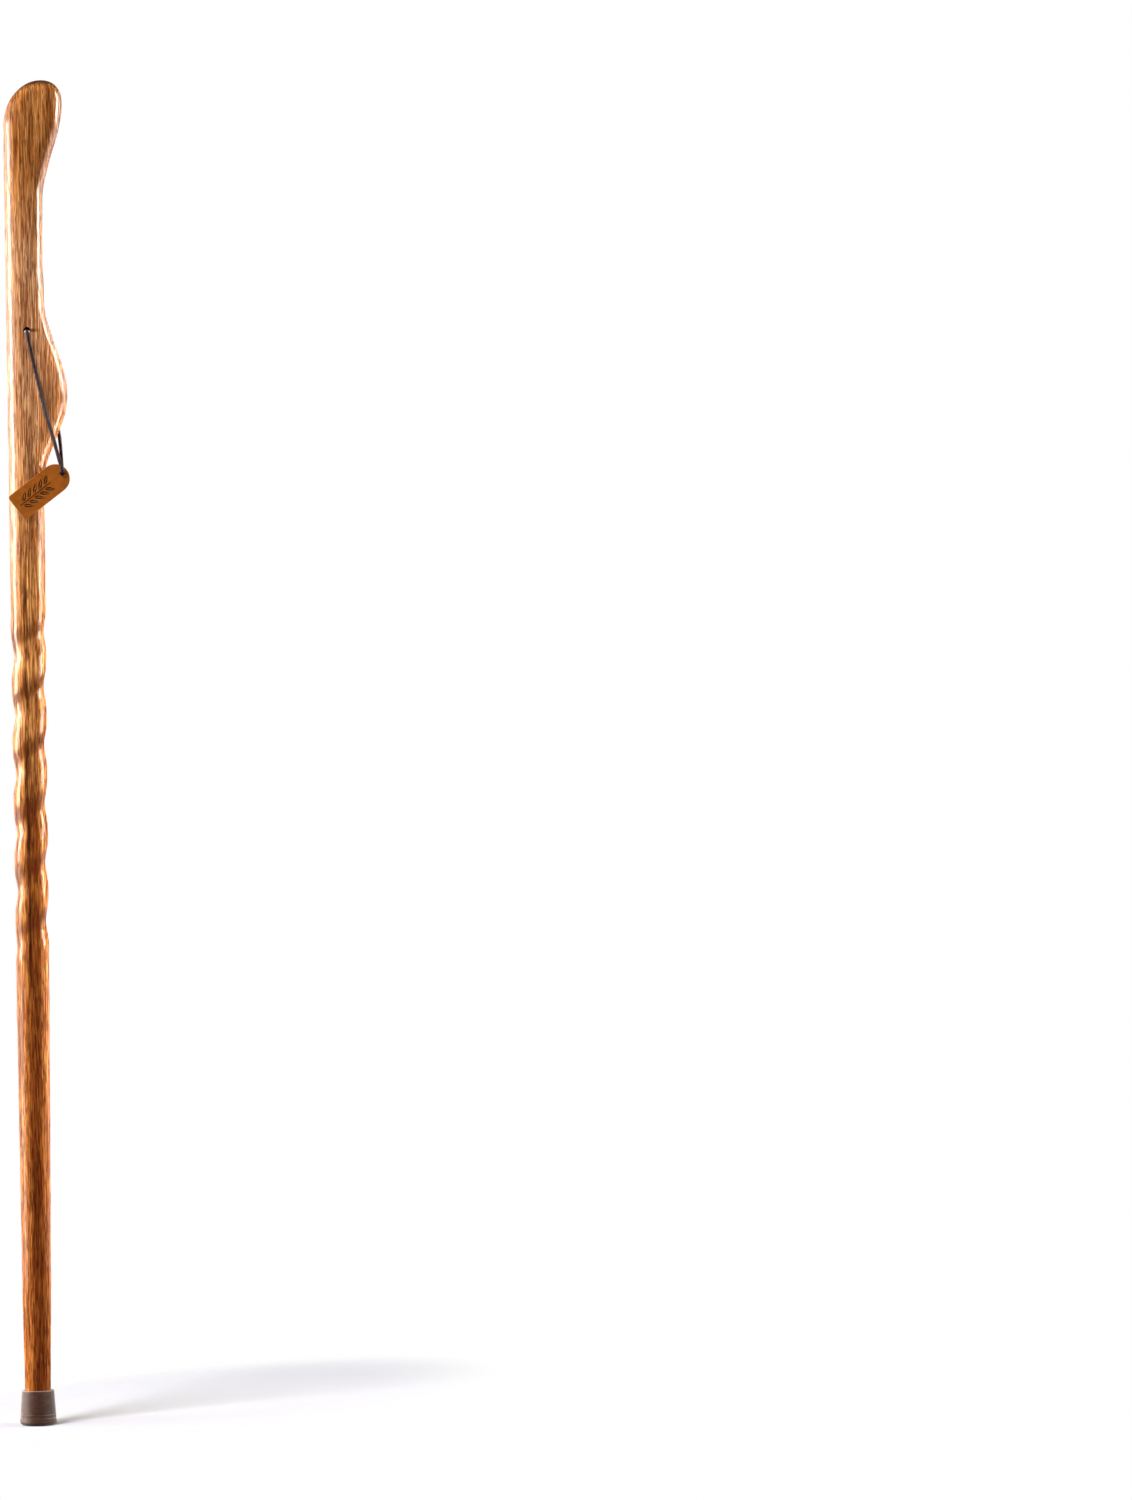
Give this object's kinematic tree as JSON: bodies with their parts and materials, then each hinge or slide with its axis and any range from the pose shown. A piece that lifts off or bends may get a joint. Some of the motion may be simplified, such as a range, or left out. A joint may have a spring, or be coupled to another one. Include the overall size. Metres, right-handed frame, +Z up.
{
  "type": "hiking staff",
  "caption": "One-piece oak hiking staff with a swollen head, hand-rest flare, carved spiral shaft, rubber ferrule, and a leather lace loop carrying a leather tag.",
  "frame": {"origin": "middle of the ferrule's ground face, on the axis of the shaft", "axes": "+Z up the shaft to the head, +X to the side that the head and the flare lean to, +Y to the back, away from the tag"},
  "size_m": [0.0644, 0.052, 1.397],
  "materials": {
    "oak": "straight-grained oak under clear gloss varnish",
    "ferrule_rubber": "satin brown moulded rubber",
    "washer_steel": "plain zinc-plated steel",
    "lace_leather": "dark brown leather thong",
    "tag_leather": "golden brown vegetable-tanned leather"
  },
  "bodies": {
    "staff": {"staff": "oak", "ferrule": "ferrule_rubber", "ferrule_washer": "washer_steel"},
    "lace": {"lace_front": "lace_leather", "lace_back": "lace_leather", "lace_knot": "lace_leather"},
    "tag": {"tag": "tag_leather"}
  },
  "joints": [
    {"name": "lace_swing", "type": "hinge", "parent": "staff", "child": "lace", "pos_m": [0.0025, 0, 1.135], "axis": [0, -1, 0], "range_deg": [0, 150]},
    {"name": "tag_swing", "type": "hinge", "parent": "lace", "child": "tag", "pos_m": [0.037, -0.0204, 0.988], "axis": [0, -1, 0], "range_deg": [-30, 130]}
  ]
}
